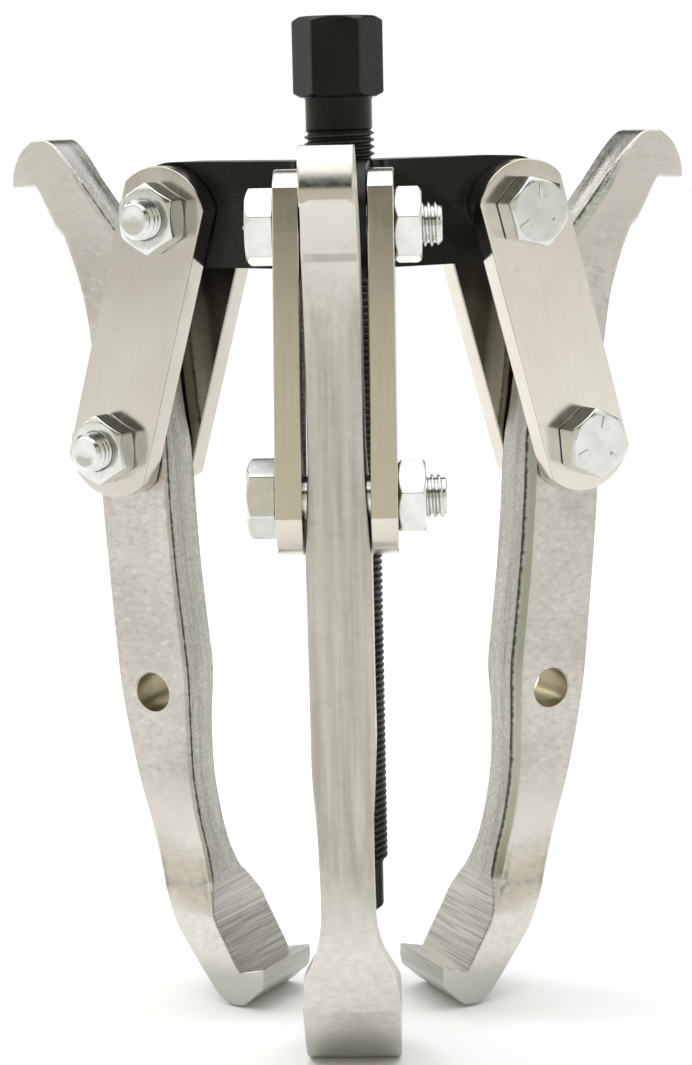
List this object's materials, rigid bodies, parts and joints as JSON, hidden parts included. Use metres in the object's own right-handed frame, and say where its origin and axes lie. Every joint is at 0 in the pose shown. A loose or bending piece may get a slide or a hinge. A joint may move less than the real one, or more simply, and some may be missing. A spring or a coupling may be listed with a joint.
{
  "type": "gear puller",
  "caption": "Reversible gear puller: hooked jaws on bolted strap links swing from a black yoke, with a long hex-headed forcing screw on its axis.",
  "frame": {"origin": "centre of the flat end of the forcing screw's tip, at the depth the screw has in the picture", "axes": "+Z along the forcing screw towards its hex head; the front jaw lies on the -Y side, the other two at 30 and 150 degrees from +X"},
  "size_m": [0.179, 0.154, 0.257],
  "materials": {
    "black_yoke": "semi-gloss black finish",
    "black_screw": "black oxide, satin",
    "polished_strap": "polished plated steel",
    "plated_fastener": "bright zinc plated steel",
    "plated_jaw": "satin plated forging with ground sides"
  },
  "bodies": {
    "yoke": {"yoke": "black_yoke"},
    "tip": {"screw_tip": "black_screw"},
    "screw": {"forcing_screw": "black_screw"},
    "link_front": {"strap_a_front": "polished_strap", "strap_b_front": "polished_strap", "yoke_bolt_front": "plated_fastener", "yoke_nut_front": "plated_fastener", "jaw_bolt_front": "plated_fastener", "jaw_nut_front": "plated_fastener"},
    "hook_front": {"jaw_front": "plated_jaw"},
    "link_right": {"strap_a_right": "polished_strap", "strap_b_right": "polished_strap", "yoke_bolt_right": "plated_fastener", "yoke_nut_right": "plated_fastener", "jaw_bolt_right": "plated_fastener", "jaw_nut_right": "plated_fastener"},
    "hook_right": {"jaw_right": "plated_jaw"},
    "link_left": {"strap_a_left": "polished_strap", "strap_b_left": "polished_strap", "yoke_bolt_left": "plated_fastener", "yoke_nut_left": "plated_fastener", "jaw_bolt_left": "plated_fastener", "jaw_nut_left": "plated_fastener"},
    "hook_left": {"jaw_left": "plated_jaw"}
  },
  "joints": [
    {"name": "screw_feed", "type": "slide", "parent": "yoke", "child": "tip", "axis": [0, 0, -1], "range_m": [-0.14, 0.0078]},
    {"name": "screw_turn", "type": "hinge", "parent": "tip", "child": "screw", "pos_m": [0, 0, 0], "axis": [0, 0, -1], "range_deg": [-31800, 1800]},
    {"name": "link_swing_front", "type": "hinge", "parent": "yoke", "child": "link_front", "pos_m": [0, -0.0458, 0.1804], "axis": [-1, 0, 0], "range_deg": [-5, 48]},
    {"name": "jaw_swing_front", "type": "hinge", "parent": "link_front", "child": "hook_front", "pos_m": [0, -0.0625, 0.12017], "axis": [1, 0, 0], "range_deg": [-4, 10]},
    {"name": "link_swing_right", "type": "hinge", "parent": "yoke", "child": "link_right", "pos_m": [0.03966, 0.0229, 0.1804], "axis": [0.5, -0.866, 0], "range_deg": [-5, 48]},
    {"name": "jaw_swing_right", "type": "hinge", "parent": "link_right", "child": "hook_right", "pos_m": [0.05504, 0.03177, 0.12047], "axis": [-0.5, 0.866, 0], "range_deg": [-4, 10]},
    {"name": "link_swing_left", "type": "hinge", "parent": "yoke", "child": "link_left", "pos_m": [-0.03966, 0.0229, 0.1804], "axis": [0.5, 0.866, 0], "range_deg": [-5, 48]},
    {"name": "jaw_swing_left", "type": "hinge", "parent": "link_left", "child": "hook_left", "pos_m": [-0.05549, 0.03204, 0.12063], "axis": [-0.5, -0.866, 0], "range_deg": [-4, 10]}
  ],
  "couplings": [
    {"joint": "screw_turn", "follows": "screw_feed", "rad_per_m": 3740}
  ]
}
